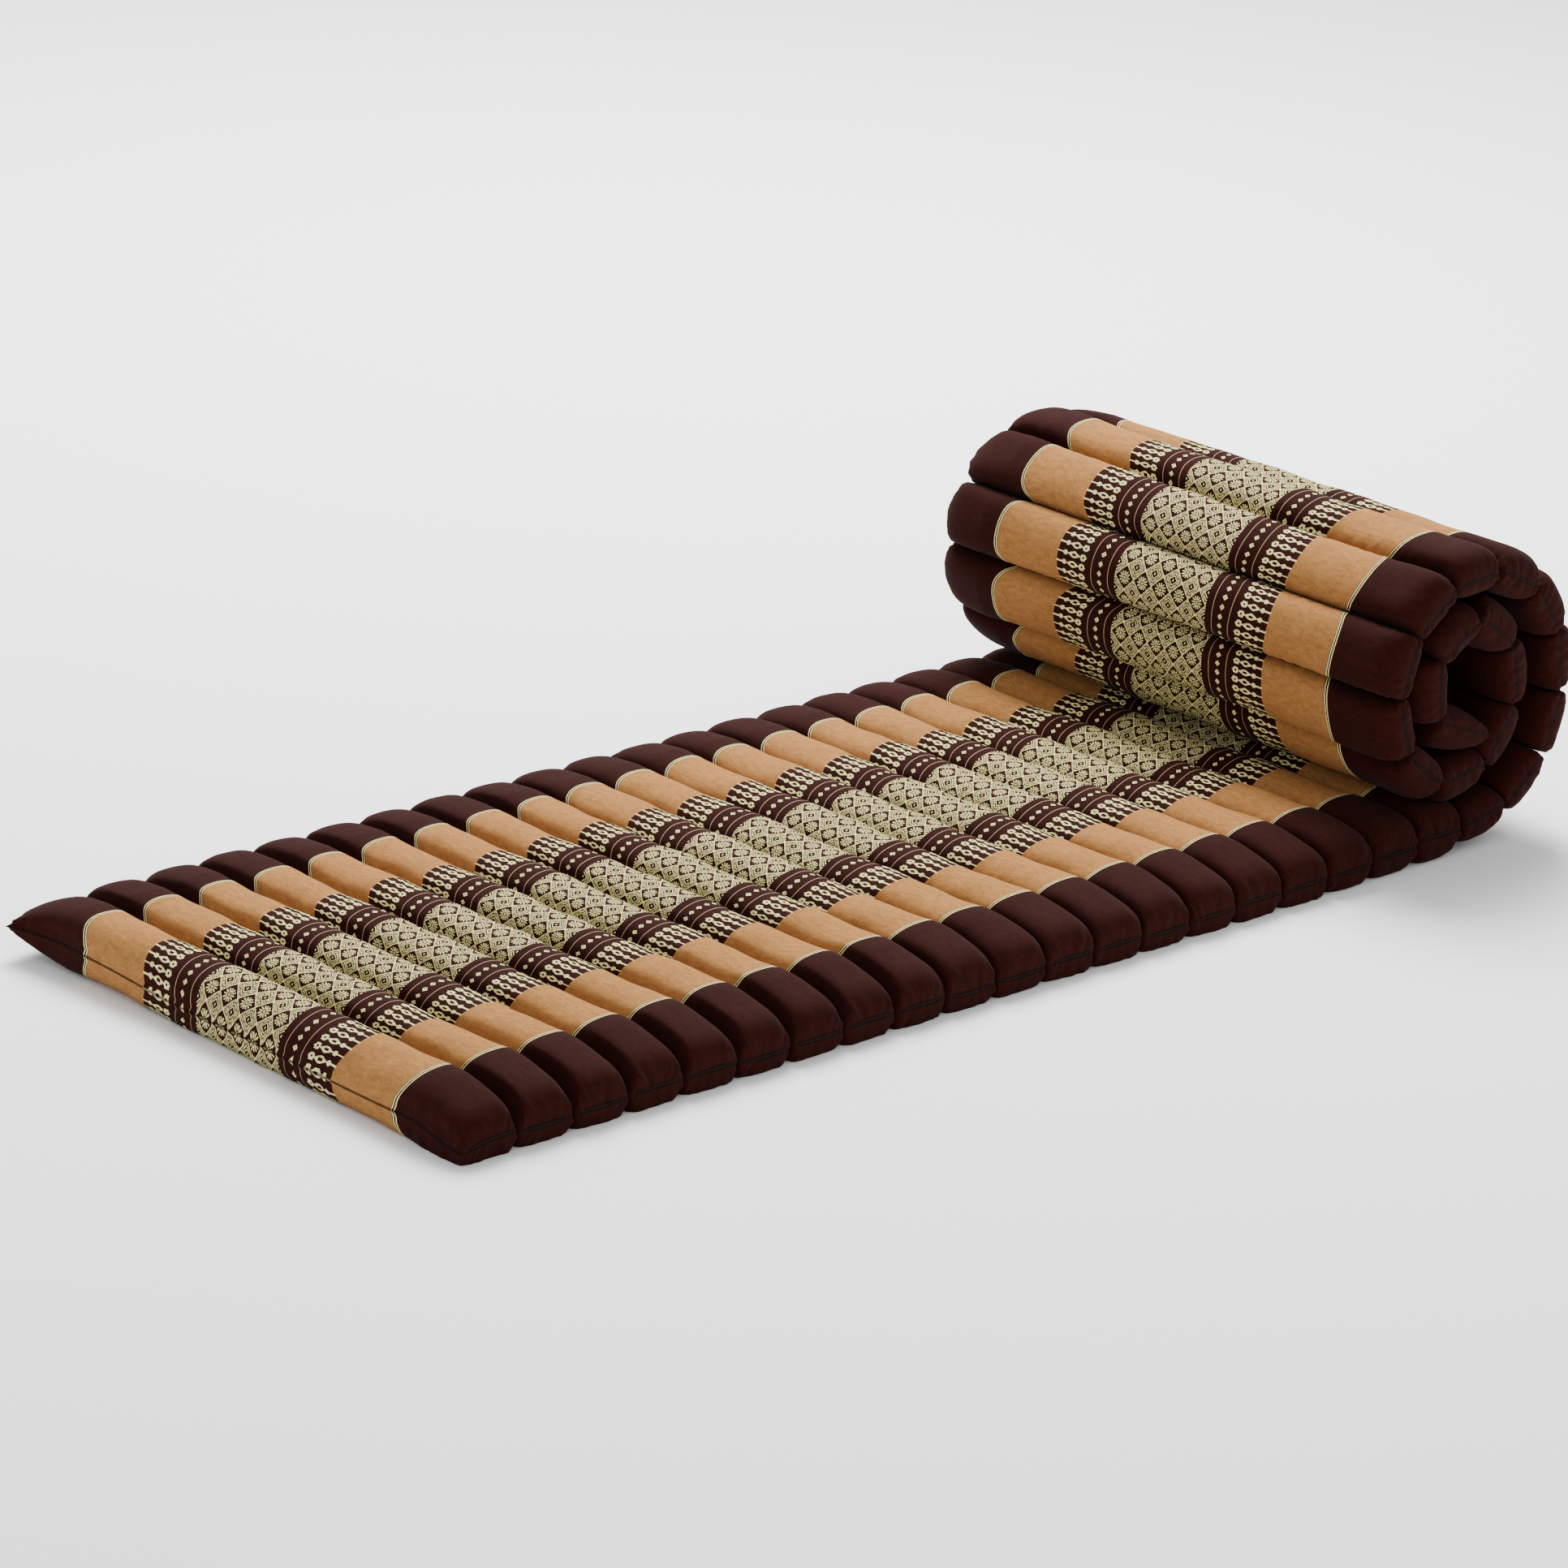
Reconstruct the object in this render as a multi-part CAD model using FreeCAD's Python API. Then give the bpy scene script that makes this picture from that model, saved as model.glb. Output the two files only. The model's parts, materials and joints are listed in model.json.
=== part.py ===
import FreeCAD, Part
import math
import os

# Roll-up kapok mattress, quilted across into stuffed channels.
# Frame: X along the mat, from the near end to the roll at the far end. Y across it. Z up.
# The origin lies on the floor, under the middle of the whole mattress as it is stored here.
# Stored pose: the near end and the middle lie flat, and the far end is rolled up on top of the mat.
# Every cross seam at the near end and in the roll is a hinge, with its axis along Y.

# Driving dimensions, in millimetres and degrees.
LENGTH = 2000.0            # the mat opened flat
WIDTH = 500.0              # across, from side seam to side seam
CHANNEL_STEP = 52.6        # wanted distance from one cross seam to the next
UNDER_RISE = 24.0          # height of the seams over the floor
UPPER_RISE = 26.0          # height of a flat channel's crown over the seams
FLOOR_STRIP = 16.0         # width of a flat channel's underside that the floor flattens
STEEPEST_FLANK = 78.0      # slope of a full channel's side where it leaves the seam
ARC_SHARE = 0.97           # most of the slope that one arc from seam to crown would have
END_ROUND = 28.0           # length over which a channel closes to its side seam
CLOTH_WALL = 1.2           # the cover's wall: woven cotton with its turned-in allowance
KAPOK_CLEARANCE = 0.3      # between the kapok and the inside of its cover
SEAM_BEAD = 0.9            # radius of the rolled stitched edge that each hinge turns about
SEAM_GAP = 0.3             # between that edge and the flange of the next channel
FLANGE = 0.4               # half the thickness of the sewn cloth at a seam
FLANGE_LENGTH = 0.4        # from a flange's tip to where the stuffed channel starts
CUT_OVER = 1.0             # how far a shape runs past the one that trims it

# The near end: this many channels can curl up from the floor into a neck roll.
NEAR_CHANNELS = 9
NEAR_LIFT_FOLD = 10.0      # at the seam where the curl leaves the floor
NEAR_CURL_FOLD = 34.0      # at each of its other seams

# The roll at the far end: the turn at each cross seam, from the mat on the floor to the free end.
LIFT_FOLD = 10.0
HEEL_FOLD = 30.5
OUTER_FOLD = 28.0
SECOND_FOLD = 35.0
INNER_FOLD = 45.5
TIP_FOLD = 65.0
ROLL_FOLDS = ([LIFT_FOLD] + [HEEL_FOLD] * 2 + [OUTER_FOLD] * 4 + [SECOND_FOLD] * 4
              + [INNER_FOLD] * 4 + [TIP_FOLD] * 3)

# Inside the roll the turns squeeze each channel, and the roll presses the last flat channels down.
# The room that is left grows with the seams' distance.
SQUEEZED_UNDER_SHARE = 0.456
SQUEEZED_UPPER_SHARE = 0.304
PRESSED_CHANNELS = 2
PRESSED_UPPER_SHARE = 0.494

CHANNELS = round(LENGTH / CHANNEL_STEP)
PITCH = LENGTH / CHANNELS
ROLL_CHANNELS = len(ROLL_FOLDS)
LAST_FLAT = CHANNELS - ROLL_CHANNELS
NEAR_FOLDS = [NEAR_CURL_FOLD] * (NEAR_CHANNELS - 1) + [NEAR_LIFT_FOLD]
FIRST_TIP = SEAM_BEAD + SEAM_GAP


def tightest_fold(channel):
    """The larger of the turns that a channel's two seams can make."""
    folds = {}
    for seam in range(1, NEAR_CHANNELS + 1):
        folds[seam] = NEAR_FOLDS[seam - 1]
    for seam in range(LAST_FLAT, CHANNELS):
        folds[seam] = ROLL_FOLDS[seam - LAST_FLAT]
    return max(folds.get(channel - 1, 0.0), folds.get(channel, 0.0))


def crown(tip, rise, flank, strip):
    """Points of one side of a channel's section: flank, arc, flat strip, arc, flank."""
    slope = math.radians(flank)
    reach = (PITCH - 2 * tip - strip) / 2
    height = rise - FLANGE
    radius = (reach * math.tan(slope) - height) / (1 / math.cos(slope) - 1)
    points = []
    for angle in (slope, slope / 2, 0.0):
        x = tip + reach - radius * math.sin(angle)
        points.append((x, rise - radius + radius * math.cos(angle)))
    return points + [(PITCH - x, z) for x, z in reversed(points)]


def section_face(tip, upper, under):
    """Closed X-Z section of a channel from two sides, each a (rise, flank, strip)."""
    edges = []
    for side, (rise, flank, strip) in ((1, upper), (-1, under)):
        outline = [(tip, FLANGE)] + crown(tip, rise, flank, strip) + [(PITCH - tip, FLANGE)]
        p = [FreeCAD.Vector(x, 0, side * z) for x, z in outline]
        edges.append(Part.LineSegment(p[0], p[1]).toShape())
        edges.append(Part.Arc(p[1], p[2], p[3]).toShape())
        if strip > 0:
            edges.append(Part.LineSegment(p[3], p[4]).toShape())
        edges.append(Part.Arc(p[4], p[5], p[6]).toShape())
        edges.append(Part.LineSegment(p[6], p[7]).toShape())
    for x in (tip, PITCH - tip):
        low = FreeCAD.Vector(x, 0, -FLANGE)
        edges.append(Part.LineSegment(low, FreeCAD.Vector(x, 0, FLANGE)).toShape())
    return Part.Face(Part.Wire(Part.sortEdges(edges)[0]))


def width_face(inset, upper_rise, under_rise):
    """Closed Y-Z outline of a channel seen along the mat, rounding down to both side seams."""
    edge = WIDTH / 2 - inset
    start = WIDTH / 2 - END_ROUND
    corners = []
    edges = []
    for side, crown_rise in ((1, upper_rise), (-1, under_rise)):
        rise = crown_rise + CUT_OVER
        drop = rise - FLANGE
        run = edge - start
        radius = (run * run + drop * drop) / (2 * drop)
        half_turn = math.asin(run / radius) / 2
        mid_y = start + radius * math.sin(half_turn)
        mid_z = rise - radius + radius * math.cos(half_turn)
        tops = []
        for hand in (1, -1):
            seam = FreeCAD.Vector(0, hand * edge, side * FLANGE)
            middle = FreeCAD.Vector(0, hand * mid_y, side * mid_z)
            top = FreeCAD.Vector(0, hand * start, side * rise)
            edges.append(Part.Arc(seam, middle, top).toShape())
            tops.append(top)
            corners.append(seam)
        edges.append(Part.LineSegment(tops[0], tops[1]).toShape())
    edges.append(Part.LineSegment(corners[0], corners[2]).toShape())
    edges.append(Part.LineSegment(corners[1], corners[3]).toShape())
    return Part.Face(Part.Wire(Part.sortEdges(edges)[0]))


def pillow(inset, upper, under):
    """Closed stuffed shape of one channel, its start seam on the Y axis, shrunk all round by inset."""
    flattest = math.radians(min(upper[1], under[1]))
    tip = FIRST_TIP + FLANGE_LENGTH + inset / math.sin(flattest)
    upper = (upper[0] - inset,) + upper[1:]
    under = (under[0] - inset,) + under[1:]
    long_width = WIDTH + 2 * CUT_OVER
    along_width = section_face(tip, upper, under).extrude(FreeCAD.Vector(0, long_width, 0))
    along_width.translate(FreeCAD.Vector(0, -long_width / 2, 0))
    along_mat = width_face(inset, upper[0], under[0]).extrude(FreeCAD.Vector(PITCH, 0, 0))
    return along_width.common(along_mat).Solids[0]


def seam_edge(x_from, x_to, bead_at):
    """Sewn flange between two X places, with a rolled edge at bead_at unless that is None."""
    length = WIDTH - 2 * FLANGE
    flange = Part.makeBox(x_to - x_from, length, 2 * FLANGE, FreeCAD.Vector(x_from, -length / 2, -FLANGE))
    if bead_at is None:
        return flange
    start = FreeCAD.Vector(bead_at, -length / 2, 0)
    return flange.fuse(Part.makeCylinder(SEAM_BEAD, length, start, FreeCAD.Vector(0, 1, 0)))


def full_flank(rise, strip):
    """Slope at the seam of a well stuffed side. A low side can't start as steep as a high one."""
    reach = PITCH / 2 - FIRST_TIP - FLANGE_LENGTH - strip / 2
    one_arc = 2 * math.degrees(math.atan2(rise - FLANGE, reach))
    return min(STEEPEST_FLANK, ARC_SHARE * one_arc)


def channel_sides(channel):
    """Rise, flank slope and flat strip of a channel's upper side and of its underside."""
    if channel > LAST_FLAT:
        upper_rise = SQUEEZED_UPPER_SHARE * PITCH
        under_rise = SQUEEZED_UNDER_SHARE * PITCH
        strip = 0.0
    else:
        pressed = channel > LAST_FLAT - PRESSED_CHANNELS
        upper_rise = PRESSED_UPPER_SHARE * PITCH if pressed else UPPER_RISE
        under_rise = UNDER_RISE
        strip = FLOOR_STRIP
    upper_flank = min(full_flank(upper_rise, 0.0), 90.0 - tightest_fold(channel) / 2)
    return (upper_rise, upper_flank, 0.0), (under_rise, full_flank(under_rise, strip), strip)


def cover_and_kapok(channel):
    """One channel's cloth cover, closed round its cavity, and the kapok inside it."""
    upper, under = channel_sides(channel)
    body = pillow(0.0, upper, under)
    body_start = FIRST_TIP + FLANGE_LENGTH
    overlap = FLANGE_LENGTH
    start_bead = 0.0 if channel == 1 else None
    start_tip = 0.0 if channel == 1 else FIRST_TIP
    body = body.fuse(seam_edge(start_tip, body_start + overlap, start_bead))
    body = body.fuse(seam_edge(PITCH - body_start - overlap, PITCH, PITCH))
    cover = body.removeSplitter().cut(pillow(CLOTH_WALL, upper, under))
    kapok = pillow(CLOTH_WALL + KAPOK_CLEARANCE, upper, under)
    return cover.Solids[0], kapok


def piece_name(channel):
    """Name of the piece that a channel turns with, counted from the near end and from the roll's start."""
    if channel <= NEAR_CHANNELS:
        return f"near_{channel:02d}"
    if channel <= LAST_FLAT:
        return "middle"
    return f"roll_{channel - LAST_FLAT:02d}"


def stored_places():
    """Place and tilt of each channel's start seam in the stored pose, as (x, z, degrees)."""
    places = []
    x = 0.0
    z = UNDER_RISE
    tilt = 0.0
    for channel in range(1, CHANNELS + 1):
        if channel > LAST_FLAT:
            tilt += ROLL_FOLDS[channel - LAST_FLAT - 1]
        places.append((x, z, tilt))
        x += PITCH * math.cos(math.radians(tilt))
        z += PITCH * math.sin(math.radians(tilt))
    return places


def put(shape, place):
    """Turn a channel's shape to its tilt about the start seam, and move it to its place."""
    x, z, tilt = place
    shape = shape.copy()
    shape.rotate(FreeCAD.Vector(0, 0, 0), FreeCAD.Vector(0, 1, 0), -tilt)
    shape.translate(FreeCAD.Vector(x, 0, z))
    return shape


places = stored_places()
nodes = {}
for channel in range(1, CHANNELS + 1):
    cover, kapok = cover_and_kapok(channel)
    name = piece_name(channel)
    nodes.setdefault(f"{name}_cover", []).append(put(cover, places[channel - 1]))
    nodes.setdefault(f"{name}_kapok", []).append(put(kapok, places[channel - 1]))

# The origin goes under the middle of the stored mattress.
everything = Part.makeCompound([solid for solids in nodes.values() for solid in solids])
bounds = everything.optimalBoundingBox()
MIDDLE_X = (bounds.XMin + bounds.XMax) / 2

os.makedirs("parts", exist_ok=True)
for node, solids in nodes.items():
    shape = solids[0] if len(solids) == 1 else Part.makeCompound(solids)
    shape.translate(FreeCAD.Vector(-MIDDLE_X, 0, 0))
    shape.exportStep(f"parts/{node}.step")
print(f"{CHANNELS} channels at {PITCH:.2f} mm, {len(nodes)} nodes")
print(f"stored size {bounds.XLength:.1f} x {bounds.YLength:.1f} x {bounds.ZLength:.1f} mm")
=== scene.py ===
# %% [markdown]
# # A roll-up kapok mattress
# The mat is one tube of patterned woven cotton, sewn across every few centimetres. Each strip between two
# seams is stuffed with kapok, which makes a row of fat soft channels that bend only at their seams.
# Here each channel is its own piece, so that the far end can lie rolled up and still open out.

# %% Load the frame
import json
import math
import bpy
import numpy as np
from mathutils import Matrix, Vector, noise


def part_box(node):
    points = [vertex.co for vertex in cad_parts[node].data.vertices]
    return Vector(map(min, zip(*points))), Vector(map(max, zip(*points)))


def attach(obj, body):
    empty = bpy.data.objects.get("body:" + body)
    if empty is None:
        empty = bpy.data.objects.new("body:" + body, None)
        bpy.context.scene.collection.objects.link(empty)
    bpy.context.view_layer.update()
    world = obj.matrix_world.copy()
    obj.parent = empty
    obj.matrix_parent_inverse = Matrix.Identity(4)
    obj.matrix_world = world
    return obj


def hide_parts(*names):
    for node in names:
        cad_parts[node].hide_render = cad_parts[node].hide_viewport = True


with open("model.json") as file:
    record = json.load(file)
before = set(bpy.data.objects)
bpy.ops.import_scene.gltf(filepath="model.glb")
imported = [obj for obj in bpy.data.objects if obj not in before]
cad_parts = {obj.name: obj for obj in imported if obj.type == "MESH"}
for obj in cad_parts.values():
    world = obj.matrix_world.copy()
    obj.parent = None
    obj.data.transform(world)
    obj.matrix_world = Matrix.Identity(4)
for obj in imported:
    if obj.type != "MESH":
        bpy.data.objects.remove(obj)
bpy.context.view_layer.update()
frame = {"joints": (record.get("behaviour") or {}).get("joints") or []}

MM = 0.001

# %% [markdown]
# ## Where the seams are
# Every size starts from the frame. A hinge lies on a cross seam, so the hinges give each channel's place
# and tilt. The middle of the mat has no hinges, and its seams are spaced evenly.

# %% Seam places from the hinges
near_hinge = {}
roll_hinge = {}
for joint in frame["joints"]:
    part, number = joint["child"].split("_")
    place = (joint["pos_m"][0], joint["pos_m"][2], math.radians(joint["range_deg"][1]))
    (near_hinge if part == "near" else roll_hinge)[int(number)] = place
near_count = len(near_hinge)
roll_count = len(roll_hinge)
pitch = near_hinge[2][0] - near_hinge[1][0]
flat_count = near_count + round((roll_hinge[1][0] - near_hinge[near_count][0]) / pitch)
channel_count = flat_count + roll_count
high_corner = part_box("near_01_cover")[1]
half_width = high_corner.y
seam_height = near_hinge[1][1]
upper_rise = high_corner.z - seam_height
print(channel_count, "channels", flat_count, "of them flat, seams every", round(pitch / MM, 2), "mm")

# %% Place, tilt and folds of each channel
def fold_at(seam):
    """Turn that the mat can make at a cross seam, in radians."""
    if seam in near_hinge:
        return near_hinge[seam][2]
    if seam - flat_count + 1 in roll_hinge:
        return roll_hinge[seam - flat_count + 1][2]
    return 0.0


def body_name(channel):
    """Body that a channel rides on."""
    if channel <= near_count:
        return f"near_{channel:02d}"
    if channel <= flat_count:
        return "middle"
    return f"roll_{channel - flat_count:02d}"


starts = []
x = near_hinge[1][0] - pitch
z = seam_height
tilt = 0.0
for channel in range(1, channel_count + 1):
    if channel > flat_count:
        tilt += fold_at(channel - 1)
    starts.append((x, z, tilt))
    x += pitch * math.cos(tilt)
    z += pitch * math.sin(tilt)
print("last seam at", round(x / MM), round(z / MM))

# %% [markdown]
# ## Camera
# The mat is seen from its near left, a little above, through a long lens that hardly converges.

# %% Camera
eye = Vector((-3.3215, -3.3638, 1.7777))
right = Vector((0.72798, -0.68405, 0.04620))
up = Vector((0.19960, 0.27592, 0.94024))
back = Vector((-0.65591, -0.67524, 0.33739))
view = bpy.data.cameras.new("camera")
view.sensor_width = 36.0
view.lens = 148.6
view.clip_end = 50.0
camera = bpy.data.objects.new("camera", view)
bpy.context.scene.collection.objects.link(camera)
camera.matrix_world = Matrix((
    (right.x, up.x, back.x, eye.x),
    (right.y, up.y, back.y, eye.y),
    (right.z, up.z, back.z, eye.z),
    (0.0, 0.0, 0.0, 1.0)))
bpy.context.scene.camera = camera
print("camera", eye.length, "m from the origin")

# %% [markdown]
# ## The cloth blank
# A channel starts as two layers of cloth laid flat and joined all round. The blank is longer than the
# distance between the finished seams, because stuffing pulls the seams together. The grid is cut here,
# and its flat places are kept as the shape that the cloth remembers while it fills out.

# %% Sizes of the blank
FACE_LENGTH = 84.0 * MM     # cloth from one cross seam to the next, along one face
HALF_BLANK = 271.0 * MM     # half the width of the cut cloth, before the ends turn down
SEAM_HALF = half_width - 1.5 * MM    # half the length of a finished cross seam
END_CLOTH = 34.0 * MM       # cloth that turns down over an end, as far as the side seam
TURN_DOWN = 46.0 * MM       # cloth that slopes down to the side seam once the end is squared
SHOULDER_POWER = 0.74       # under 1 fills out the section's shoulders
END_SHARE = 0.92            # how far a simulated end gives way to the squared one
SIDE_FULLNESS = 1.15        # cloth gathered into a side seam, over the seam's own length
SEAM_FULLNESS = 1.035       # cloth gathered into a cross seam, over the seam's own length
CELLS_ALONG = 18
CELLS_ACROSS = 120
print("blank", round(FACE_LENGTH / MM), "by", round(2 * HALF_BLANK / MM), "mm")

# %% Cut the blank
def deselect():
    bpy.ops.object.select_all(action="DESELECT")


def cut_blank(name):
    """Two flat layers of cloth, merged along their edges, with the pattern's UV map in metres of cloth."""
    deselect()
    bpy.ops.mesh.primitive_grid_add(x_subdivisions=CELLS_ALONG, y_subdivisions=CELLS_ACROSS, size=1.0)
    blank = bpy.context.object
    blank.name = name
    bpy.ops.object.mode_set(mode="EDIT")
    bpy.ops.transform.resize(value=(FACE_LENGTH, 2 * HALF_BLANK, 1.0))
    bpy.ops.transform.translate(value=(FACE_LENGTH / 2, 0.0, 1 * MM))
    bpy.ops.mesh.duplicate()
    bpy.ops.transform.translate(value=(0.0, 0.0, -2 * MM))
    bpy.ops.mesh.flip_normals()
    bpy.ops.object.mode_set(mode="OBJECT")
    blank.data.transform(blank.matrix_world)
    blank.matrix_world = Matrix.Identity(4)
    for vertex in blank.data.vertices:
        on_x = min(vertex.co.x, FACE_LENGTH - vertex.co.x) < 0.1 * MM
        on_y = HALF_BLANK - abs(vertex.co.y) < 0.1 * MM
        if on_x or on_y:
            vertex.co.z = 0.0
    cloth_map = blank.data.uv_layers[0]
    cloth_map.name = "cloth"
    for loop in blank.data.loops:
        place = blank.data.vertices[loop.vertex_index].co
        cloth_map.data[loop.index].uv = (place.y, place.x)
    bpy.ops.object.mode_set(mode="EDIT")
    bpy.ops.mesh.select_all(action="SELECT")
    bpy.ops.mesh.remove_doubles(threshold=0.05 * MM)
    bpy.ops.object.mode_set(mode="OBJECT")
    return blank


def points_of(mesh):
    """The mesh's vertex places as an array."""
    places = np.zeros(len(mesh.vertices) * 3)
    mesh.vertices.foreach_get("co", places)
    return places.reshape(-1, 3)


def move_points(mesh, places):
    mesh.vertices.foreach_set("co", np.ascontiguousarray(places).ravel())
    mesh.update()


# %% [markdown]
# ## Filling
# A cloth simulation blows the blank up. It starts from a rough arch, so that few steps are enough, and
# the cloth pulls back towards its flat cut, which is what makes the surface taut and the ends wrinkle.
# The seams are held where the finished mat has them.

# %% Rough shape and remembered cut
def smooth_step(value, low, high):
    """0 below low, 1 above high, and a smooth rise between."""
    share = np.clip((value - low) / (high - low), 0, 1)
    return share * share * (3 - 2 * share)


def rough_fill(flat, seed):
    """Loosely filled shape that the stuffing starts from, with a boxy end."""
    turn = np.linspace(0, math.pi, 400)
    length = np.hypot(np.diff(pitch / 2 * -np.cos(turn)), np.diff(0.9 * upper_rise * np.sqrt(np.sin(turn))))
    length = np.concatenate([[0], np.cumsum(length)])
    even = flat[:, 0] / FACE_LENGTH
    along = np.interp(even, length / length[-1], turn / math.pi)
    side = np.sign(flat[:, 2])
    across = np.abs(flat[:, 1])
    arch = np.sqrt(np.maximum(np.sin(along * math.pi), 0))
    straight = HALF_BLANK - END_CLOTH
    bend = np.clip((across - straight) / END_CLOTH, 0, 1) * math.pi / 2
    full_y = np.minimum(across, straight) + (half_width - straight) * np.sin(bend) ** 0.75
    seam_y = across * SEAM_HALF / HALF_BLANK
    places = np.zeros_like(flat)
    places[:, 0] = pitch / 2 * (1 - np.cos(along * math.pi))
    places[:, 0] += (pitch * even - places[:, 0]) * (bend * 2 / math.pi) ** 2
    places[:, 1] = np.sign(flat[:, 1]) * (seam_y + (full_y - seam_y) * arch)
    places[:, 2] = side * 0.9 * upper_rise * arch * np.cos(bend) ** 0.6
    for index, (px, py, pz) in enumerate(places):
        shake = noise.noise(Vector((px * 60, py * 40 + 17.3 * seed, pz * 60)))
        places[index, 2] += 1.6 * MM * shake * arch[index]
    at_side = HALF_BLANK - across < 0.1 * MM
    places[at_side, 2] = 1.5 * MM * np.sin(math.pi * even[at_side]) * math.sin(1.7 * seed)
    return places


def remembered_cut(flat, open_start):
    """The cloth's own flat size. It is only a little longer than each seam that it is sewn into."""
    arch = np.sqrt(np.sin(flat[:, 0] / FACE_LENGTH * math.pi))
    fullness = 1.4 if open_start else SIDE_FULLNESS
    if open_start:
        corner = np.where(flat[:, 1] > 0, 1.0, 0.93)
        arch = np.where(flat[:, 0] < FACE_LENGTH / 2, arch + (1 - arch) * corner, arch)
    at_seam = SEAM_HALF * SEAM_FULLNESS / HALF_BLANK
    at_side = pitch * fullness / FACE_LENGTH
    from_end = HALF_BLANK - np.abs(flat[:, 1])
    narrowing = at_side + (1 - at_side) * np.sqrt(np.clip(from_end / (0.5 * END_CLOTH), 0, 1))
    cut = flat.copy()
    cut[:, 0] = FACE_LENGTH / 2 + (flat[:, 0] - FACE_LENGTH / 2) * narrowing
    cut[:, 1] *= at_seam + (1 - at_seam) * arch
    cut[:, 2] = 0.0
    return cut


# %% Stuff the blank
def stuff(name, seed, open_start=False):
    """A channel set up to be filled by cloth simulation. Its seams are held, apart from an open start edge."""
    blank = cut_blank(name)
    flat = points_of(blank.data)
    cross_seam = FACE_LENGTH - flat[:, 0] < 0.1 * MM
    side_seam = HALF_BLANK - np.abs(flat[:, 1]) < 0.1 * MM
    if open_start:
        held = cross_seam | (side_seam & (flat[:, 0] > 0.25 * FACE_LENGTH))
    else:
        held = cross_seam | side_seam | (flat[:, 0] < 0.1 * MM)
    move_points(blank.data, rough_fill(flat, seed))
    blank.shape_key_add(name="filled")
    cut = blank.shape_key_add(name="flat cut")
    cut.data.foreach_set("co", remembered_cut(flat, open_start).ravel())
    blank.vertex_groups.new(name="sewn").add([int(i) for i in np.flatnonzero(held)], 1.0, "REPLACE")
    cloth = blank.modifiers.new("cloth", "CLOTH")
    cloth.settings.rest_shape_key = cut
    cloth.settings.vertex_group_mass = "sewn"
    cloth.settings.quality = 8
    cloth.settings.mass = 0.1
    cloth.settings.tension_stiffness = 40.0
    cloth.settings.compression_stiffness = 40.0
    cloth.settings.shear_stiffness = 15.0
    cloth.settings.bending_stiffness = 0.01
    cloth.settings.air_damping = 2.0
    cloth.settings.use_pressure = True
    cloth.settings.uniform_pressure_force = 8.0
    cloth.settings.effector_weights.gravity = 0.0
    cloth.point_cache.frame_start = 1
    cloth.point_cache.frame_end = 40
    return blank


# %% [markdown]
# ## Shoulders and ends
# A real channel is held from both sides by its neighbours, so its section is fuller at the shoulders than
# a free tube's, and its ends are square. These moves stand in for that contact. The middle's own section
# is carried out to the end, where its top slopes down to the side seam.

# %% Square up the ends
def fatten(piece):
    """Fills out the shoulders of the section, because the neighbours hold a real channel from both sides."""
    points = points_of(piece.data)
    full = upper_rise * (np.abs(points[:, 2]) / upper_rise) ** SHOULDER_POWER
    points[:, 2] = np.sign(points[:, 2]) * full
    move_points(piece.data, points)


def square_ends(piece, flat, open_start):
    """Carries the middle's own section out to a square-sided end, whose top slopes down to the side seam."""
    points = points_of(piece.data)
    across = np.abs(flat[:, 1])
    even = flat[:, 0] / FACE_LENGTH
    row = np.rint(even * CELLS_ALONG).astype(int) * 2 + (flat[:, 2] > 0)
    middle = across < 60 * MM
    section = np.zeros((2 * CELLS_ALONG + 2, 2))
    for index in range(len(section)):
        here = middle & (row == index)
        if here.any():
            section[index] = points[here][:, [0, 2]].mean(0)
    from_end = HALF_BLANK - across
    straight = HALF_BLANK - TURN_DOWN
    bend = np.clip(1 - from_end / TURN_DOWN, 0, 1) * math.pi / 2
    from_cross = FACE_LENGTH - flat[:, 0]
    if not open_start:
        from_cross = np.minimum(from_cross, flat[:, 0])
    pulled = across * SEAM_HALF / HALF_BLANK
    full = np.minimum(across, straight) + (half_width + 0.5 * MM - straight) * np.sin(bend) ** 0.8
    aside = np.clip(section[row, 0] * 2 / pitch - 1, -1, 1)
    square = np.zeros_like(points)
    square[:, 0] = pitch / 2 * (1 + np.sign(aside) * np.abs(aside) ** 0.7)
    square[:, 0] += (pitch * even - square[:, 0]) * (bend * 2 / math.pi) ** 4
    square[:, 1] = np.sign(flat[:, 1]) * (pulled + (full - pulled) * smooth_step(from_cross, 0, 4.5 * MM))
    high = upper_rise * (np.abs(section[row, 1]) / upper_rise) ** 0.6
    square[:, 2] = np.sign(section[row, 1]) * high * np.cos(bend) ** 0.75
    weight = END_SHARE * (1 - smooth_step(from_end, TURN_DOWN, TURN_DOWN + 60 * MM))
    weight[from_end < 0.1 * MM] = 0
    weight[from_cross < 0.1 * MM] = 0
    move_points(piece.data, points + (square - points) * weight[:, None])


# %% Run the stuffing
flat_places = points_of(cut_blank("pattern_piece").data)
bpy.data.objects.remove(bpy.data.objects["pattern_piece"])
FILLING_STEPS = 30
samples = [stuff(f"sample_{seed}", seed) for seed in (1, 2, 3, 4)]
samples.append(stuff("sample_edge", 5, open_start=True))
for step in range(1, FILLING_STEPS + 1):
    bpy.context.scene.frame_set(step)
for sample in samples:
    deselect()
    bpy.context.view_layer.objects.active = sample
    sample.select_set(True)
    bpy.ops.object.convert(target="MESH")
    fatten(sample)
    square_ends(sample, flat_places, sample.name == "sample_edge")
    rounding = sample.modifiers.new("round", "SUBSURF")
    rounding.levels = 1
    rounding.render_levels = 1
    bpy.ops.object.modifier_apply(modifier="round")
    low, high = points_of(sample.data).min(0), points_of(sample.data).max(0)
    print(sample.name, len(sample.data.polygons), "faces", (low / MM).round(1), (high / MM).round(1))
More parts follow.
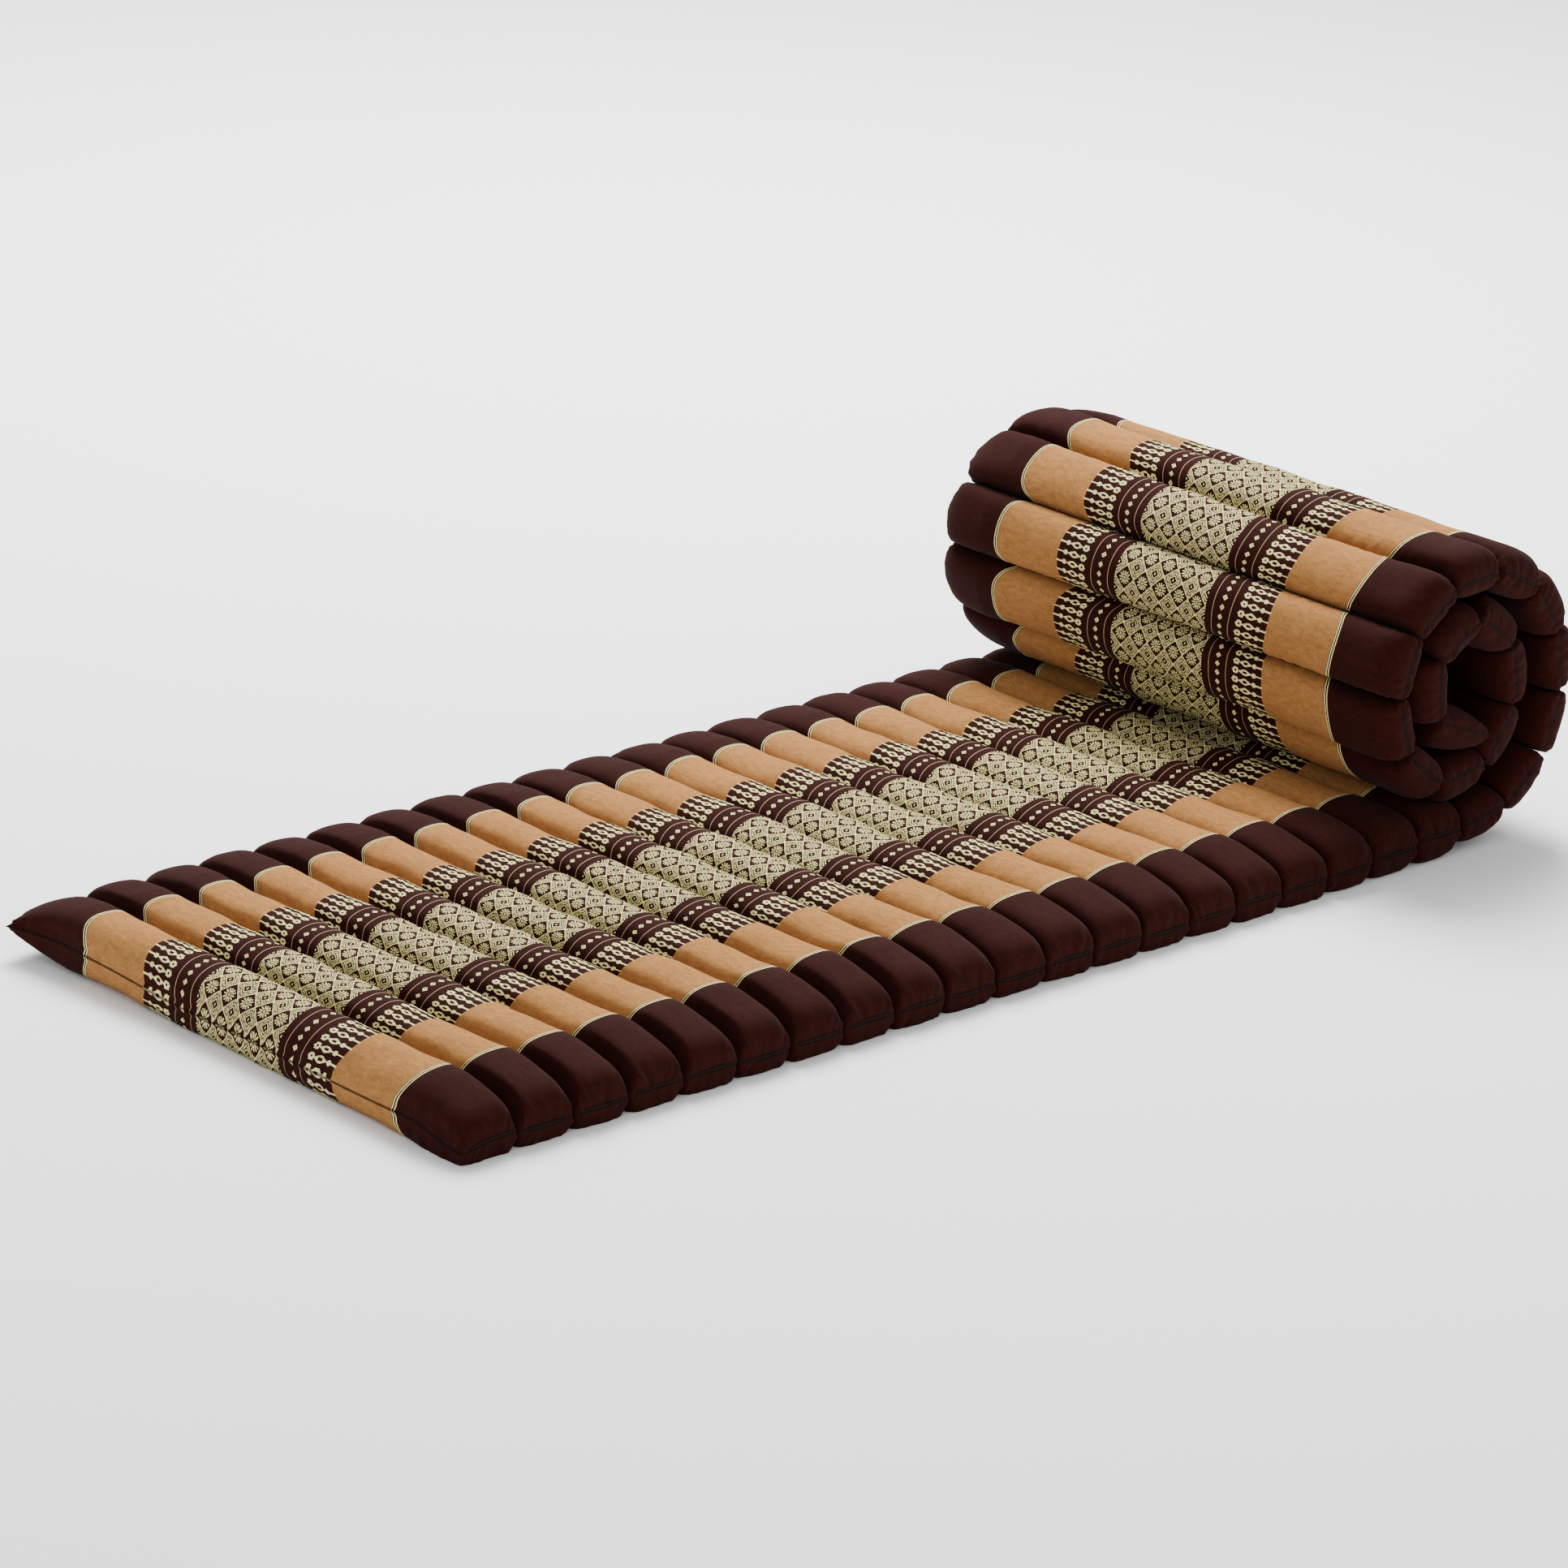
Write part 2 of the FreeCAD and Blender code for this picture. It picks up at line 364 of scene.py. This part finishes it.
bpy.context.scene.frame_set(1)

# %% [markdown]
# ## Gathers
# A seam takes in more cloth than its own length, so small puckers stand across it on both sides. They
# are finer than the simulated grid, so they are pressed in afterwards by moving each point along its
# normal, by a noise that runs along the seam and dies away a few millimetres from it.

# %% Press in the gathers
def cloth_places(mesh):
    """Each vertex's place on the flat cloth, across and along, from the UV map."""
    uv = np.zeros(len(mesh.loops) * 2)
    mesh.uv_layers["cloth"].data.foreach_get("uv", uv)
    index = np.zeros(len(mesh.loops), dtype=int)
    mesh.loops.foreach_get("vertex_index", index)
    places = np.zeros((len(mesh.vertices), 2))
    places[index] = uv.reshape(-1, 2)
    return places


def gather(mesh, seed):
    """Puckers beside the cross seams and the side seams, and the lumps of hand stuffing between them."""
    points = points_of(mesh)
    normals = np.zeros(len(mesh.vertices) * 3)
    mesh.vertices.foreach_get("normal", normals)
    normals = normals.reshape(-1, 3)
    for index, (across, along) in enumerate(cloth_places(mesh)):
        side = 1 if points[index, 2] > 0 else -1
        from_seam = max(min(along, FACE_LENGTH - along), 0)
        from_side = max(HALF_BLANK - abs(across), 0)
        near_seam = from_seam / (4 * MM) * math.exp(1 - from_seam / (4 * MM))
        near_side = from_side / (6 * MM) * math.exp(1 - from_side / (6 * MM))
        inner = min(from_seam, from_side, 20 * MM) / (20 * MM)
        pucker = noise.noise(Vector((across / (7 * MM), 5.1 * side, 9.7 * seed))) * 1.3 * near_seam
        tuck = noise.noise(Vector((along / (8 * MM), across / (40 * MM), 3.3 * side + seed))) * 2.2 * near_side
        lump = noise.noise(Vector((across / (45 * MM), along / (40 * MM), 8.9 * side + 4 * seed))) * 1.5 * inner
        pucker *= min(1, from_side / (10 * MM))
        tuck *= min(1, from_seam / (6 * MM))
        points[index] += normals[index] * MM * (pucker + tuck + lump)
    move_points(mesh, points)


def raise_lip(mesh):
    """Stands the near edge's seam proud by a little, with a shallow groove on both sides of it."""
    points = points_of(mesh)
    for index, (across, along) in enumerate(cloth_places(mesh)):
        if along < 0.5 * MM:
            points[index, 0] -= 1.4 * MM
        elif along < 3 * MM:
            points[index, 0] += 0.5 * MM
    move_points(mesh, points)


def point_corner(mesh):
    """Draws the mat's outer corner out to a flat point, as the corner of a pillow is."""
    points = points_of(mesh)
    reach = np.clip((points[:, 1] - half_width + 60 * MM) / (60 * MM), 0, 1.05)
    to_edge = np.clip(1 - points[:, 0] / pitch, 0, 1)
    points[:, 0] -= 12 * MM * reach ** 3 * to_edge
    points[:, 1] += 7 * MM * reach ** 2 * to_edge
    points[:, 2] *= 1 - 0.5 * np.minimum(reach, 1) ** 3 * (0.25 + 0.75 * to_edge)
    move_points(mesh, points)


# %% Gather every sample, and finish the outer edge
for seed, sample in enumerate(samples):
    gather(sample.data, seed)
raise_lip(samples[4].data)
point_corner(samples[4].data)
print(len(samples), "samples gathered")

# %% [markdown]
# ## The cloth
# The cover is plain-woven cotton with a pattern of cream floats, the same on both faces. A lozenge band
# runs along the middle, then a row of small diamonds between two lines, a row of figures, a tan stripe, a
# double pinstripe and a plain dark edge. The pattern is worked out thread by thread from the cloth's own
# UV map, which holds metres of cloth, so it bends and stops where the cloth does.

# %% Dye colours
BROWN = ("#1B0705", "#310F09")      # dark maroon brown ground
TAN = ("#7D5229", "#AA7A48")        # heathered light brown stripe
CREAM = ("#C6BA78", "#EFE5A8")      # raised floats and pinstripes
LINE = "#B49A78"                    # single thin lines, beige
CREASE_SHADE = "#0E0504"                  # painted shade for the creases of the side seams and the mat's outer edges
SEWING = ("#070504", "#2B211C")     # charcoal sewing thread with worn light flecks
print("dyes", BROWN, TAN, CREAM)

# %% Colours and a node helper
def colour(hex_code):
    """Linear colour of an sRGB hex code."""
    parts = [int(hex_code[i:i + 2], 16) / 255 for i in (1, 3, 5)]
    return [p / 12.92 if p <= 0.04045 else ((p + 0.055) / 1.055) ** 2.4 for p in parts] + [1.0]


def new_material(name):
    material = bpy.data.materials.new(name)
    material.use_nodes = True
    material.node_tree.nodes.clear()
    return material


def node(tree, kind, *values, out=0, inputs=None, **settings):
    """Adds a node with its settings, fills or links its inputs, and returns one of its outputs."""
    new = tree.nodes.new("ShaderNode" + kind)
    for name, value in settings.items():
        setattr(new, name, value)
    for key, value in [*enumerate(values), *(inputs or {}).items()]:
        if isinstance(value, bpy.types.NodeSocket):
            tree.links.new(value, new.inputs[key])
        else:
            new.inputs[key].default_value = value
    return new.outputs[out] if len(new.outputs) else new


def join(tree, *masks):
    """1 where any mask is."""
    whole = masks[0]
    for mask in masks[1:]:
        whole = node(tree, "Math", whole, mask, operation="MAXIMUM")
    return whole


print("tan", colour(TAN[0])[:3])

# %% Where each band lies, in millimetres of cloth from the centre line
THREAD = 0.5                # step that the floats are drawn in
LOZENGE_EDGE = 50.5
LOZENGE_ACROSS = 20.0
LOZENGE_ALONG = 22.0
FIGURE_ALONG = 8.2
INNER_LINE = 58.2
DIAMOND_ROW = 67.8
OUTER_LINE = 77.3
STAR_ROW = 88.0
OVAL_ROW = 98.3
CROSS_ROW = 108.0
TAN_START = 116.3
TAN_END = 185.0
PINSTRIPES = (186.0, 188.1)
print("bands out to", half_width / MM, "mm")

# %% [markdown]
# ## The woven figures
# Each figure is a mask that is 1 on a cream float and 0 on the dark ground. Folding a distance back on
# itself (ping-pong) repeats a figure and its mirror image, so only a quarter of each is drawn. The figures
# are drawn on steps of half a millimetre, about twice as coarse as the real floats, so that they show.

# %% The lozenge band
def lozenges(tree, across, along):
    """Flowers and nested diamonds in a lattice of lines. Returns 1 where the float is cream."""
    u = node(tree, "Math", across, LOZENGE_ACROSS, operation="DIVIDE")
    u = node(tree, "Math", u, 0.5, operation="PINGPONG")
    v = node(tree, "Math", along, LOZENGE_ALONG, operation="DIVIDE")
    v = node(tree, "Math", v, 0.5, operation="PINGPONG")
    total = node(tree, "Math", u, v, operation="ADD")
    slant = node(tree, "Math", u, v, operation="SUBTRACT")
    lattice = node(tree, "Math", total, 0.505, 0.028, operation="COMPARE")
    # flower: twelve round-ended petals on a dark ground, and a small heart
    spread = node(tree, "CombineXYZ", node(tree, "Math", u, LOZENGE_ACROSS, operation="MULTIPLY"),
                  node(tree, "Math", v, LOZENGE_ALONG, operation="MULTIPLY"), 0.0)
    radius = node(tree, "VectorMath", spread, operation="LENGTH", out=1)
    angle = node(tree, "Math", v, u, operation="ARCTAN2")
    ray = node(tree, "Math", node(tree, "Math", angle, 12.0, operation="MULTIPLY"), operation="COSINE")
    petals = node(tree, "Math", ray, 0.05, operation="GREATER_THAN")
    tips = node(tree, "Math", ray, 0.9, 4.9, operation="MULTIPLY_ADD")
    within = node(tree, "Math", radius, tips, operation="LESS_THAN")
    beyond = node(tree, "Math", radius, 1.7, operation="GREATER_THAN")
    petals = node(tree, "Math", petals, within, operation="MULTIPLY")
    petals = node(tree, "Math", petals, beyond, operation="MULTIPLY")
    heart = node(tree, "Math", radius, 1.0, operation="LESS_THAN")
    flower = node(tree, "Math", petals, heart, operation="MAXIMUM")
    # nested diamonds: teeth, an outline, a ring and a dot
    tooth = node(tree, "Math", node(tree, "Math", slant, 0.11, operation="DIVIDE"), 0.5, operation="PINGPONG")
    tooth = node(tree, "Math", tooth, 0.25, operation="GREATER_THAN")
    row = node(tree, "Math", total, 0.598, 0.034, operation="COMPARE")
    teeth = node(tree, "Math", row, tooth, operation="MULTIPLY")
    outline = node(tree, "Math", total, 0.688, 0.022, operation="COMPARE")
    ring = node(tree, "Math", total, 0.800, 0.026, operation="COMPARE")
    dot = node(tree, "Math", total, 0.952, operation="GREATER_THAN")
    figure = join(tree, lattice, flower, teeth, outline, ring, dot)
    inside = node(tree, "Math", across, LOZENGE_EDGE, operation="LESS_THAN")
    return node(tree, "Math", figure, inside, operation="MULTIPLY")


# %% The rows of small figures
def dab(tree, away, beside, place, reach):
    """Block of floats whose middle and half size are given in millimetres, repeated either side."""
    first = node(tree, "Math", away, place[0], reach[0], operation="COMPARE")
    second = node(tree, "Math", beside, place[1], reach[1], operation="COMPARE")
    return node(tree, "Math", first, second, operation="MULTIPLY")


def daisy(tree, away, beside, length, width, hole):
    """Diamond with four more points between its corners, and an open middle."""
    slope = node(tree, "Math", beside, length / width, away, operation="MULTIPLY_ADD")
    body = join(tree, node(tree, "Math", slope, length, operation="LESS_THAN"),
                dab(tree, away, beside, (0.55 * width, 0.62 * width), (0.2 * width, 0.2 * width)))
    return node(tree, "Math", body, dab(tree, away, beside, (0, 0), (hole, hole)), operation="SUBTRACT")


def figures(tree, across, beside):
    """One repeat of the figures: star, oval, cross and stem, and the small diamond nearer the middle."""
    away = [node(tree, "Math", node(tree, "Math", across, row, operation="SUBTRACT"), operation="ABSOLUTE")
            for row in (STAR_ROW, OVAL_ROW, CROSS_ROW, DIAMOND_ROW, TAN_START - 2.6)]
    star = daisy(tree, away[0], beside, 4.2, 3.1, 0.9)
    slope = node(tree, "Math", node(tree, "Math", away[1], 0.44, operation="MULTIPLY"), beside, operation="ADD")
    oval = node(tree, "Math", node(tree, "Math", slope, 3.2, operation="LESS_THAN"),
                node(tree, "Math", beside, 2.7, operation="LESS_THAN"), operation="MULTIPLY")
    oval = node(tree, "Math", oval, dab(tree, away[1], beside, (0, 0), (2.2, 1.1)), operation="SUBTRACT")
    cross = daisy(tree, away[2], beside, 3.4, 2.3, 0.0)
    stem = dab(tree, away[4], beside, (0, 0), (3.2, 0.65))
    slope = node(tree, "Math", beside, away[3], operation="ADD")
    small = node(tree, "Math", node(tree, "Math", slope, 2.55, operation="LESS_THAN"),
                 dab(tree, away[3], beside, (0, 0), (0.5, 0.5)), operation="SUBTRACT")
    return join(tree, star, oval, cross, stem, small)


# %% [markdown]
# ## The seams on the cloth
# Sewing thread shows as dashes along each seam, and shade is painted into the crease of each side seam.
# The mat's two outer edges are closed from inside, so they show a thin line of painted shade and no dashes.

# %% Stitches and painted crease shade
STITCH_REPEAT = 2.1         # half the distance from stitch to stitch, in millimetres


def seams(tree, u, v, out):
    """Masks of the stitches over both kinds of seam, and of the painted shade in the creases."""
    length = channel_count * FACE_LENGTH / MM
    from_seam = node(tree, "Math", v, FACE_LENGTH / MM / 2, operation="PINGPONG")
    from_side = node(tree, "Math", HALF_BLANK / MM, out, operation="SUBTRACT")
    sewn_across = node(tree, "Math", v, length / 2, (length - 8) / 2, operation="COMPARE")
    stitches = []
    for beside, reach, run, dash in ((from_seam, 0.8, u, 1.5), (from_side, 0.5, v, 1.4)):
        gap = node(tree, "Math", node(tree, "Math", run, STITCH_REPEAT, operation="PINGPONG"), dash,
                   operation="LESS_THAN")
        near = node(tree, "Math", beside, reach, operation="LESS_THAN")
        stitches.append(node(tree, "Math", near, gap, operation="MULTIPLY"))
    stitches[0] = node(tree, "Math", stitches[0], sewn_across, operation="MULTIPLY")
    # painted shade: the cloth is darkened within 0.7 mm of the mat's outer edges and within 1.6 mm of a side
    # seam
    outer_edge = node(tree, "Math", from_seam, 0.7, operation="LESS_THAN")
    outer_edge = node(tree, "Math", outer_edge, sewn_across, operation="SUBTRACT")
    crease_shade = join(tree, node(tree, "Math", from_side, 1.6, operation="LESS_THAN"), outer_edge)
    return join(tree, *stitches), node(tree, "Math", crease_shade, 0.8, operation="MULTIPLY")


print("a stitch every", 2 * STITCH_REPEAT, "mm")

# %% [markdown]
# ## Woven cotton
# The yarn is dyed unevenly, so every colour is a mix of two shades by a noise that is stretched along the
# thread. The colours are laid one over another: ground, tan stripe, thin lines, cream floats, painted shade
# in the creases, and sewing thread. The threads, the floats and the stitches also stand up a little, as bump.

# %% Woven cotton
WEAVE_STEP = 1.2            # two threads, drawn about twice as coarse as they are, so that they show


def woven_cotton():
    """Plain-woven cotton with raised cream floats: matt, with a faint bloom of loose fibre."""
    material = new_material("woven cotton")
    tree = material.node_tree
    split = node(tree, "SeparateXYZ", node(tree, "UVMap", uv_map="cloth")).node
    u, v = [node(tree, "Math", split.outputs[axis], 1 / MM, operation="MULTIPLY") for axis in (0, 1)]
    out = node(tree, "Math", u, operation="ABSOLUTE")
    across, along = [node(tree, "Math", node(tree, "Math", value, THREAD, operation="SNAP"), THREAD / 2,
                          operation="ADD") for value in (out, v)]
    repeat = node(tree, "Math", along, FIGURE_ALONG / 2, operation="PINGPONG")
    cream = join(tree, lozenges(tree, across, along), figures(tree, across, repeat))
    lines = join(tree, *[node(tree, "Math", across, place, THREAD * 0.8, operation="COMPARE")
                         for place in (INNER_LINE, OUTER_LINE)])
    pins = join(tree, *[node(tree, "Math", out, place, 0.45, operation="COMPARE") for place in PINSTRIPES])
    raised = join(tree, cream, pins)
    is_tan = node(tree, "Math", out, (TAN_START + TAN_END) / 2, (TAN_END - TAN_START) / 2, operation="COMPARE")
    stitch, crease_shade = seams(tree, u, v, out)
    # uneven dye: flecks of single yarns over broad slubs
    yarn = node(tree, "VectorMath", node(tree, "CombineXYZ", u, v, 0.0), (0.45, 1.0, 1.0), operation="MULTIPLY")
    fleck = node(tree, "TexNoise", inputs={"Vector": yarn, "Scale": 1.1, "Detail": 4.0, "Roughness": 0.8})
    slub = node(tree, "TexNoise", inputs={"Vector": yarn, "Scale": 0.25, "Detail": 2.0, "Roughness": 0.6})
    uneven = node(tree, "Math", slub, 0.5, fleck, operation="MULTIPLY_ADD")
    uneven = node(tree, "Math", uneven, 2.2, -1.15, operation="MULTIPLY_ADD")
    brown, tan, float_cream, sewing = [
        node(tree, "Mix", inputs={"Factor": uneven, 6: colour(dark), 7: colour(light)}, out=2, data_type="RGBA")
        for dark, light in (BROWN, TAN, CREAM, SEWING)]
    face = brown
    # the crease layer paints shade into the creases of the side seams and the outer edges
    for mask, top in ((is_tan, tan), (lines, colour(LINE)), (raised, float_cream), (crease_shade, colour(CREASE_SHADE)),
                      (stitch, sewing)):
        face = node(tree, "Mix", inputs={"Factor": mask, 6: face, 7: top}, out=2, data_type="RGBA")
    # relief: threads, then floats and pinstripes, then stitches
    warp, weft = [node(tree, "Math", node(tree, "Math", value, 2 * math.pi / WEAVE_STEP, operation="MULTIPLY"),
                       operation="SINE") for value in (u, v)]
    height = node(tree, "Math", node(tree, "Math", warp, weft, operation="MULTIPLY"), 0.12, fleck,
                  operation="MULTIPLY_ADD")
    height = node(tree, "Math", raised, 0.8, height, operation="MULTIPLY_ADD")
    height = node(tree, "Math", stitch, 1.5, height, operation="MULTIPLY_ADD")
    bump = node(tree, "Bump", inputs={"Height": height, "Strength": 0.4, "Distance": 0.3 * MM})
    shader = node(tree, "BsdfPrincipled", inputs={
        "Base Color": face, "Roughness": 0.92, "Specular IOR Level": 0.05, "Sheen Weight": 0.015,
        "Sheen Roughness": 0.5, "Normal": bump})
    node(tree, "OutputMaterial", shader)
    return material


cotton = woven_cotton()
print(cotton.name, len(cotton.node_tree.nodes), "nodes")

# %% [markdown]
# ## Lay out
# Each channel is a copy of a sample with its own mesh. Some copies are mirrored, so that neighbours differ.
# The last channel is the first one's twin, turned half round. In the roll the winding squeezes a channel,
# at the right the ends droop onto the floor, and at the left they are drawn out. Where the mat folds, two
# neighbours meet on the plane halfway between them, so no point may pass that plane.

# %% How far a channel is squeezed and drawn
SQUEEZE_ABOVE = 16 / 26     # height kept above the seams in the roll
SQUEEZE_BELOW = 24 / 26     # height kept below them
LEFT_REACH = 45 * MM        # length of the end that is drawn out at the left
LEFT_DRAWN = 9 * MM
LEFT_THINNING = 0.2
RIGHT_DROOP = 9 * MM        # how far the side seam hangs below the cross seams at the right
EDGE_DROOP = 5 * MM         # the same for the near edge's seam
CURL_GAP = 0.5 * MM         # space left at each fold of the near end, so that it can curl up
print("squeezed to", round((26 * SQUEEZE_ABOVE + 24 * SQUEEZE_BELOW)), "mm in the roll")

# %% Copy a sample
def copied_sample(channel):
    """Mesh of a channel in a sample's own place, with its cloth map moved along to the channel's cloth."""
    is_edge = channel in (1, channel_count)
    mesh = (samples[4] if is_edge else samples[(channel * 7) % 4]).data.copy()
    points = points_of(mesh)
    if channel == channel_count:
        points[:, 0] = pitch - points[:, 0]
        points[:, 1] = -points[:, 1]
    elif (channel * 5) % 3 == 0 and not is_edge:
        points[:, 1] = -points[:, 1]
        mesh.flip_normals()
    uv = np.zeros(len(mesh.loops) * 2)
    mesh.uv_layers["cloth"].data.foreach_get("uv", uv)
    if channel == channel_count:
        uv[1::2] = FACE_LENGTH - uv[1::2]
    uv[1::2] += (channel - 1) * FACE_LENGTH
    mesh.uv_layers["cloth"].data.foreach_set("uv", uv)
    return mesh, points


# %% Press and fold it
def soft_limit(value, least, blend):
    """The value, kept at or above the least with a rounded changeover."""
    return 0.5 * (value + least + np.sqrt((value - least) ** 2 + blend ** 2))


def press(points, channel):
    """Squeezes a channel in the roll, draws out its left end, and keeps its right end at the mat's side."""
    if channel > flat_count:
        points[:, 2] *= np.where(points[:, 2] > 0, SQUEEZE_ABOVE, SQUEEZE_BELOW)
    reach = np.clip((points[:, 1] - half_width + LEFT_REACH) / LEFT_REACH, 0, 1.1)
    belly = np.sin(math.pi * np.clip(points[:, 0] / pitch, 0, 1))
    points[:, 1] += LEFT_DRAWN * reach ** 2 * (0.35 + 0.65 * belly)
    points[:, 2] *= 1 - LEFT_THINNING * reach
    beyond = points[:, 1] + half_width
    points[:, 1] = np.where(beyond < 0, -half_width + 0.4 * beyond, points[:, 1])


def meet_neighbours(points, channel):
    """Keeps a channel inside the planes where it meets its neighbours at the tightest fold."""
    rise = np.maximum(points[:, 2], 0)
    gap = CURL_GAP * np.clip(rise / (2 * MM), 0, 1) if channel <= near_count + 1 else 0.0
    low = rise * math.tan(fold_at(channel - 1) / 2) + gap
    high = pitch - rise * math.tan(fold_at(channel) / 2) - gap
    blend = 3 * MM * np.clip(rise / (8 * MM), 0, 1)
    if channel > 1:
        points[:, 0] = soft_limit(points[:, 0], low, blend)
    if channel < channel_count:
        points[:, 0] = -soft_limit(-points[:, 0], -high, blend)


def rest_on_floor(points, channel):
    """Lets a flat channel's right end droop, less and less towards the roll, and flattens it on the floor."""
    droop = RIGHT_DROOP * min(1.0, (flat_count + 1 - channel) / 4)
    points[:, 2] -= droop * smooth_step(-points[:, 1], half_width - 62 * MM, half_width - 4 * MM)
    if channel == 1:
        edge = np.clip(1 - points[:, 0] / pitch, 0, 1) ** 2
        points[:, 2] -= EDGE_DROOP * edge * smooth_step(-points[:, 1], -170 * MM, -60 * MM)
    points[:, 2] = np.maximum(points[:, 2], -seam_height)


# %% Build the channels
def build_channel(channel):
    mesh, points = copied_sample(channel)
    press(points, channel)
    meet_neighbours(points, channel)
    if channel <= flat_count:
        rest_on_floor(points, channel)
    x0, z0, tilt = starts[channel - 1]
    x = x0 + points[:, 0] * math.cos(tilt) - points[:, 2] * math.sin(tilt)
    z = z0 + points[:, 0] * math.sin(tilt) + points[:, 2] * math.cos(tilt)
    move_points(mesh, np.column_stack([x, points[:, 1], z]))
    mesh.shade_smooth()
    piece = bpy.data.objects.new(f"channel_{channel:02d}", mesh)
    bpy.context.scene.collection.objects.link(piece)
    return piece


for channel in range(1, channel_count + 1):
    piece = build_channel(channel)
    piece.data.materials.append(cotton)
    body = body_name(channel)
    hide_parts(body + "_cover", body + "_kapok")
    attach(piece, body)
for sample in samples:
    bpy.data.objects.remove(sample)
print(channel_count, "channels laid out")

# %% [markdown]
# ## Floor and lights
# The floor is plain white paper, matt and far larger than the mat. The sky is a white studio that lights
# everything evenly. One large soft lamp behind the mat gives the shadow in front of it.

# %% Floor
FLOOR_SIZE = 30.0
deselect()
bpy.ops.mesh.primitive_plane_add(size=FLOOR_SIZE)
floor = bpy.context.object
floor.name = "floor"
paper = new_material("white paper")
shader = node(paper.node_tree, "BsdfPrincipled", inputs={"Base Color": (0.95, 0.95, 0.95, 1), "Roughness": 0.9})
node(paper.node_tree, "OutputMaterial", shader)
floor.data.materials.append(paper)
print("floor", FLOOR_SIZE, "m across")

# %% Lights
world = bpy.data.worlds.new("studio")
bpy.context.scene.world = world
world.use_nodes = True
world.node_tree.nodes["Background"].inputs["Color"].default_value = (1, 1, 1, 1)
world.node_tree.nodes["Background"].inputs["Strength"].default_value = 1.0
key = bpy.data.lights.new("key", "AREA")
key.energy = 350
key.size = 2.0
lamp = bpy.data.objects.new("key", key)
lamp.location = (1.3, 1.6, 2.8)
lamp.rotation_euler = (Vector((0, 0, 0)) - lamp.location).to_track_quat("-Z", "Y").to_euler()
bpy.context.scene.collection.objects.link(lamp)
print("lamp", key.energy, "W")
